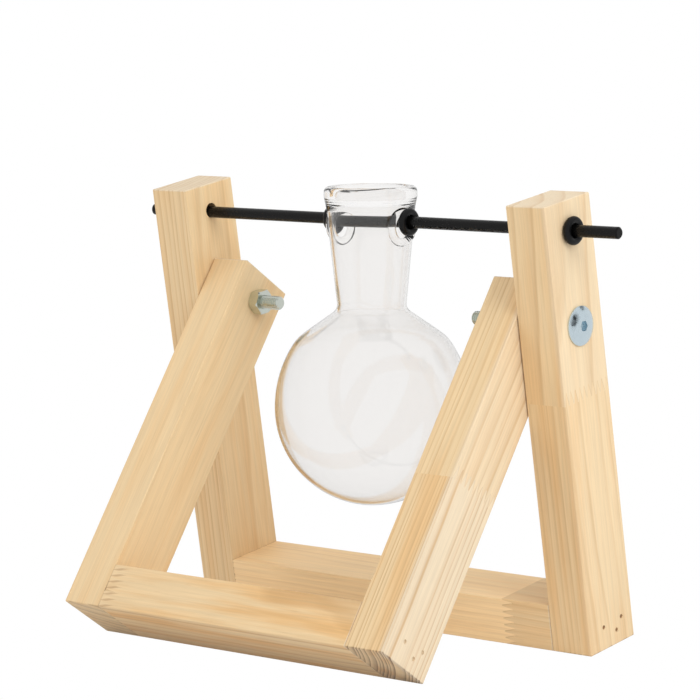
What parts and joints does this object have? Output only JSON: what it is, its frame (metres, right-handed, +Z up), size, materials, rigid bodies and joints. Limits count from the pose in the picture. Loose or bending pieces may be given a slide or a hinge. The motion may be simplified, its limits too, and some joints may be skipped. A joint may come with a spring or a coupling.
{
  "type": "propagation vase",
  "caption": "Glass bulb flask hung on a rod across an A-shaped stand of two bolted pine frames, for rooting cuttings in water.",
  "frame": {"origin": "middle of the footprint box, on the surface that the stand rests on", "axes": "+X along the rod to the right as seen from the front, -Y is the front with the short frame, +Z is up"},
  "size_m": [0.26, 0.1376, 0.1922],
  "materials": {
    "pine": "sanded bare pine, fine straight grain",
    "zinc_steel": "bright zinc plating",
    "brad_steel": "dull sunk brad heads",
    "black_metal": "black satin",
    "black_rubber": "smooth black rubber",
    "clear_glass": "clear blown glass with a fire-polished rim"
  },
  "bodies": {
    "tall_frame": {"left_post": "pine", "right_post_lower": "pine", "right_post_upper": "pine", "rear_rail_long_piece": "pine", "rear_rail_short_piece": "pine", "left_post_brads": "brad_steel", "right_post_brads": "brad_steel", "left_pivot_bolt": "zinc_steel", "right_pivot_bolt": "zinc_steel", "left_pivot_nut": "zinc_steel", "right_pivot_nut": "zinc_steel"},
    "front_frame": {"left_leg": "pine", "right_leg_lower": "pine", "right_leg_upper": "pine", "front_rail_end_block": "pine", "front_rail": "pine", "left_leg_brads": "brad_steel", "right_leg_brads": "brad_steel"},
    "rod": {"rod": "black_metal"},
    "flask": {"flask": "clear_glass"},
    "neck_ring_left": {"neck_ring_left": "black_rubber"},
    "neck_ring_right": {"neck_ring_right": "black_rubber"},
    "end_ring_left": {"end_ring_left": "black_rubber"},
    "end_ring_right": {"end_ring_right": "black_rubber"}
  },
  "joints": [
    {"name": "front_frame_fold", "type": "hinge", "parent": "tall_frame", "child": "front_frame", "pos_m": [-0.005, 0.03257, 0.13808], "axis": [1, 0, 0], "range_deg": [-102, 28.5]},
    {"name": "rod_slide", "type": "slide", "parent": "tall_frame", "child": "rod", "axis": [1, 0, 0], "range_m": [-0.02, 0.011]},
    {"name": "flask_swing", "type": "hinge", "parent": "rod", "child": "flask", "pos_m": [-0.0015, 0.02623, 0.17733], "axis": [1, 0, 0], "continuous": true},
    {"name": "neck_ring_left_slide", "type": "slide", "parent": "rod", "child": "neck_ring_left", "axis": [1, 0, 0], "range_m": [-0.05, 0]},
    {"name": "neck_ring_right_slide", "type": "slide", "parent": "rod", "child": "neck_ring_right", "axis": [1, 0, 0], "range_m": [0, 0.05]},
    {"name": "end_ring_left_slide", "type": "slide", "parent": "tall_frame", "child": "end_ring_left", "axis": [1, 0, 0], "range_m": [-0.011, 0]},
    {"name": "end_ring_right_slide", "type": "slide", "parent": "tall_frame", "child": "end_ring_right", "axis": [1, 0, 0], "range_m": [0, 0.021]}
  ]
}
